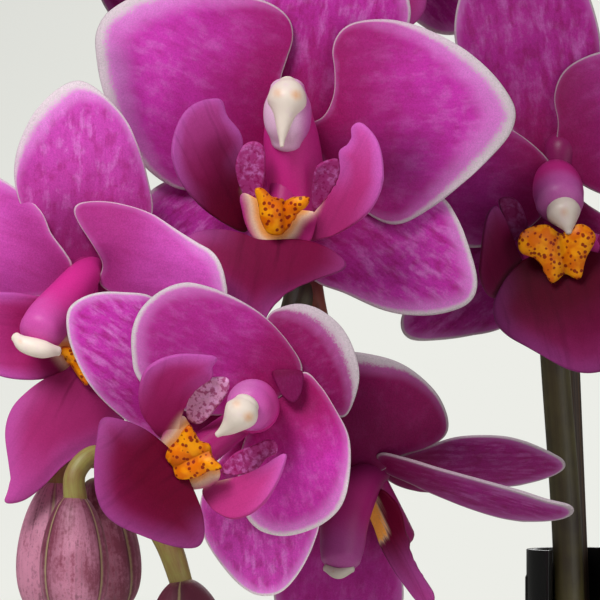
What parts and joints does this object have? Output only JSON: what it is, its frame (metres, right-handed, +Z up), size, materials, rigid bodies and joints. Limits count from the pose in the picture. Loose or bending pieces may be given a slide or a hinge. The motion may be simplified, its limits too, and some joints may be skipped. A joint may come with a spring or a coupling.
{
  "type": "potted_plant",
  "caption": "Potted miniature moth orchid with an arching spike of purple blooms and buds over strap leaves, in a plain pale round pot.",
  "frame": {"origin": "centre of the flat underside of the outer pot, on the surface the pot stands on", "axes": "+Z up; -Y is the side the open blooms face and the picture was taken from; +X to the right of that view; metres"},
  "size_m": [0.1732, 0.1741, 0.3783],
  "materials": {
    "pot_glaze": "gloss",
    "pot_liner": "satin",
    "bark": "rough",
    "stake": "satin",
    "clip": "gloss",
    "root": "matte",
    "spike": "satin",
    "leaf": "satin",
    "bud": "matte",
    "petal": "matte",
    "anther_cap": "satin",
    "callus": "satin"
  },
  "bodies": {
    "root": {"outer_pot": "pot_glaze", "nursery_pot": "pot_liner", "bark": "bark", "stake": "stake", "spike_clip": "clip", "stem_and_roots": "root", "flower_spike": "spike", "leaf_1": "leaf", "leaf_2": "leaf", "leaf_3": "leaf", "leaf_4": "leaf", "leaf_5": "leaf", "leaf_6": "leaf", "bud_front": "bud", "bud_left": "bud", "bud_right": "bud", "bud_low": "bud", "bloom_a": "petal", "bloom_a_cap": "anther_cap", "bloom_a_callus": "callus", "bloom_b": "petal", "bloom_b_cap": "anther_cap", "bloom_b_callus": "callus", "bloom_c": "petal", "bloom_c_cap": "anther_cap", "bloom_c_callus": "callus", "bloom_d": "petal", "bloom_d_cap": "anther_cap", "bloom_e": "petal", "bloom_e_cap": "anther_cap", "bloom_e_callus": "callus", "bloom_f": "petal", "bloom_f_cap": "anther_cap", "bloom_f_callus": "callus", "bloom_g": "petal", "bloom_g_cap": "anther_cap", "bloom_g_callus": "callus"}
  },
  "joints": []
}
